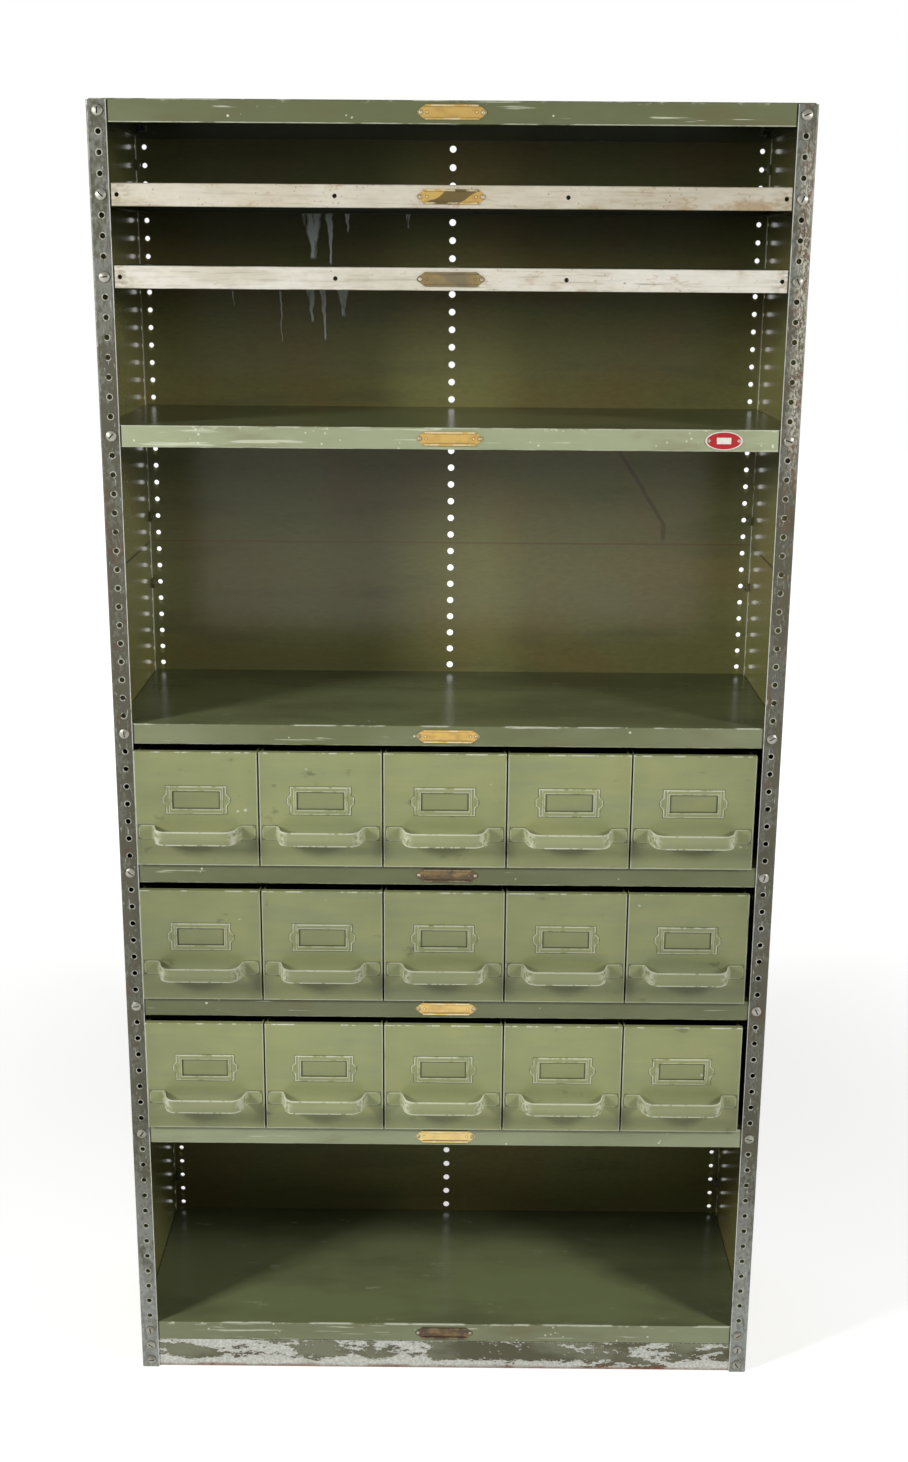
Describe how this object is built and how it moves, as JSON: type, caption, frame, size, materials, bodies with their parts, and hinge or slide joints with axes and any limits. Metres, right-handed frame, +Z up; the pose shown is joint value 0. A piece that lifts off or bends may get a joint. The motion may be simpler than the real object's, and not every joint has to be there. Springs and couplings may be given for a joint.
{
  "type": "steel shelving unit with drawers",
  "caption": "Bolted closed-back steel shelving unit of punched angle posts, with open shelves and rows of sliding shelf boxes with strap handles and card frames.",
  "frame": {"origin": "middle of the overall box at floor level", "axes": "+Z up the posts, +Y from the front to the back, +X to the right as one faces the unit"},
  "size_m": [0.9206, 0.3495, 1.8304],
  "materials": {
    "post_steel": "dark worn paint with rubbed steel and rust",
    "sheet_green": "semi-gloss dark olive enamel",
    "shelf_green": "semi-gloss grey green enamel, chipped edges",
    "shelf_grey": "dirty off-white paint with rust",
    "kick_plate": "green enamel chipped to white primer and rust",
    "drawer_green": "semi-gloss sage green enamel with worn edges",
    "fasteners": "zinc plated, dulled",
    "brass": "dull brass",
    "bronzed_brass": "dark bronzed brass",
    "badge": "red enamel with a white rim"
  },
  "bodies": {
    "root": {"post_front_left": "post_steel", "post_front_right": "post_steel", "post_rear_left": "post_steel", "post_rear_right": "post_steel", "side_panel_left_upper": "sheet_green", "side_panel_right_upper": "sheet_green", "back_panel_upper": "sheet_green", "side_panel_left_lower": "sheet_green", "side_panel_right_lower": "sheet_green", "back_panel_lower": "sheet_green", "shelf_1": "shelf_green", "shelf_2": "shelf_grey", "shelf_3": "shelf_grey", "shelf_4": "shelf_green", "shelf_5": "shelf_green", "shelf_6": "shelf_green", "shelf_7": "shelf_green", "shelf_8": "shelf_green", "shelf_9": "shelf_green", "base_strip": "kick_plate", "front_bolts": "fasteners", "rear_bolts": "fasteners", "shelf_nuts": "fasteners", "side_bolts": "fasteners", "side_nuts": "fasteners", "label_holders_brass": "brass", "label_holders_bronzed": "bronzed_brass", "label_rivets": "brass", "badge_plate": "badge", "badge_rivets": "fasteners"},
    "drawer_1_1": {"drawer_1_1_tray": "drawer_green", "drawer_1_1_hardware": "drawer_green"},
    "drawer_1_2": {"drawer_1_2_tray": "drawer_green", "drawer_1_2_hardware": "drawer_green"},
    "drawer_1_3": {"drawer_1_3_tray": "drawer_green", "drawer_1_3_hardware": "drawer_green"},
    "drawer_1_4": {"drawer_1_4_tray": "drawer_green", "drawer_1_4_hardware": "drawer_green"},
    "drawer_1_5": {"drawer_1_5_tray": "drawer_green", "drawer_1_5_hardware": "drawer_green"},
    "drawer_2_1": {"drawer_2_1_tray": "drawer_green", "drawer_2_1_hardware": "drawer_green"},
    "drawer_2_2": {"drawer_2_2_tray": "drawer_green", "drawer_2_2_hardware": "drawer_green"},
    "drawer_2_3": {"drawer_2_3_tray": "drawer_green", "drawer_2_3_hardware": "drawer_green"},
    "drawer_2_4": {"drawer_2_4_tray": "drawer_green", "drawer_2_4_hardware": "drawer_green"},
    "drawer_2_5": {"drawer_2_5_tray": "drawer_green", "drawer_2_5_hardware": "drawer_green"},
    "drawer_3_1": {"drawer_3_1_tray": "drawer_green", "drawer_3_1_hardware": "drawer_green"},
    "drawer_3_2": {"drawer_3_2_tray": "drawer_green", "drawer_3_2_hardware": "drawer_green"},
    "drawer_3_3": {"drawer_3_3_tray": "drawer_green", "drawer_3_3_hardware": "drawer_green"},
    "drawer_3_4": {"drawer_3_4_tray": "drawer_green", "drawer_3_4_hardware": "drawer_green"},
    "drawer_3_5": {"drawer_3_5_tray": "drawer_green", "drawer_3_5_hardware": "drawer_green"}
  },
  "joints": [
    {"name": "drawer_1_1_slide", "type": "slide", "parent": "root", "child": "drawer_1_1", "axis": [0, -1, 0], "range_m": [0, 0.25]},
    {"name": "drawer_1_2_slide", "type": "slide", "parent": "root", "child": "drawer_1_2", "axis": [0, -1, 0], "range_m": [0, 0.25]},
    {"name": "drawer_1_3_slide", "type": "slide", "parent": "root", "child": "drawer_1_3", "axis": [0, -1, 0], "range_m": [0, 0.25]},
    {"name": "drawer_1_4_slide", "type": "slide", "parent": "root", "child": "drawer_1_4", "axis": [0, -1, 0], "range_m": [0, 0.25]},
    {"name": "drawer_1_5_slide", "type": "slide", "parent": "root", "child": "drawer_1_5", "axis": [0, -1, 0], "range_m": [0, 0.25]},
    {"name": "drawer_2_1_slide", "type": "slide", "parent": "root", "child": "drawer_2_1", "axis": [0, -1, 0], "range_m": [0, 0.25]},
    {"name": "drawer_2_2_slide", "type": "slide", "parent": "root", "child": "drawer_2_2", "axis": [0, -1, 0], "range_m": [0, 0.25]},
    {"name": "drawer_2_3_slide", "type": "slide", "parent": "root", "child": "drawer_2_3", "axis": [0, -1, 0], "range_m": [0, 0.25]},
    {"name": "drawer_2_4_slide", "type": "slide", "parent": "root", "child": "drawer_2_4", "axis": [0, -1, 0], "range_m": [0, 0.25]},
    {"name": "drawer_2_5_slide", "type": "slide", "parent": "root", "child": "drawer_2_5", "axis": [0, -1, 0], "range_m": [0, 0.25]},
    {"name": "drawer_3_1_slide", "type": "slide", "parent": "root", "child": "drawer_3_1", "axis": [0, -1, 0], "range_m": [0, 0.25]},
    {"name": "drawer_3_2_slide", "type": "slide", "parent": "root", "child": "drawer_3_2", "axis": [0, -1, 0], "range_m": [0, 0.25]},
    {"name": "drawer_3_3_slide", "type": "slide", "parent": "root", "child": "drawer_3_3", "axis": [0, -1, 0], "range_m": [0, 0.25]},
    {"name": "drawer_3_4_slide", "type": "slide", "parent": "root", "child": "drawer_3_4", "axis": [0, -1, 0], "range_m": [0, 0.25]},
    {"name": "drawer_3_5_slide", "type": "slide", "parent": "root", "child": "drawer_3_5", "axis": [0, -1, 0], "range_m": [0, 0.25]}
  ]
}
